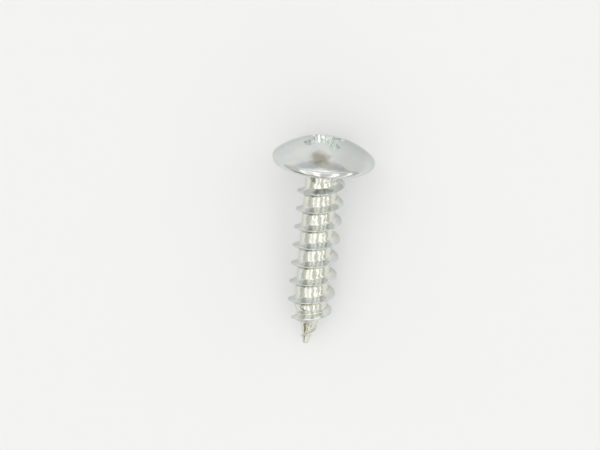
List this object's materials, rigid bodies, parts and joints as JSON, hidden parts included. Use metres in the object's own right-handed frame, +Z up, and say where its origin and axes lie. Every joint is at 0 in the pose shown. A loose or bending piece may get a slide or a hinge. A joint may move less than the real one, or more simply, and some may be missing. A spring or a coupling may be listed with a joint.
{
  "type": "truss head tapping screw",
  "caption": "Tapping screw with a low domed wide head, a cross recess, a coarse right-hand thread along its whole shank and a gimlet point.",
  "frame": {"origin": "on the surface that the screw lies on, under the middle of its box", "axes": "+Z up from that surface; +Y the way the head points, with the screw's axis leaning 10.5 degrees up towards the head; +X across"},
  "size_m": [0.009, 0.0188, 0.0088],
  "materials": {
    "zinc_plate": "bright clear zinc plate over steel"
  },
  "bodies": {
    "root": {"screw": "zinc_plate"}
  },
  "joints": []
}
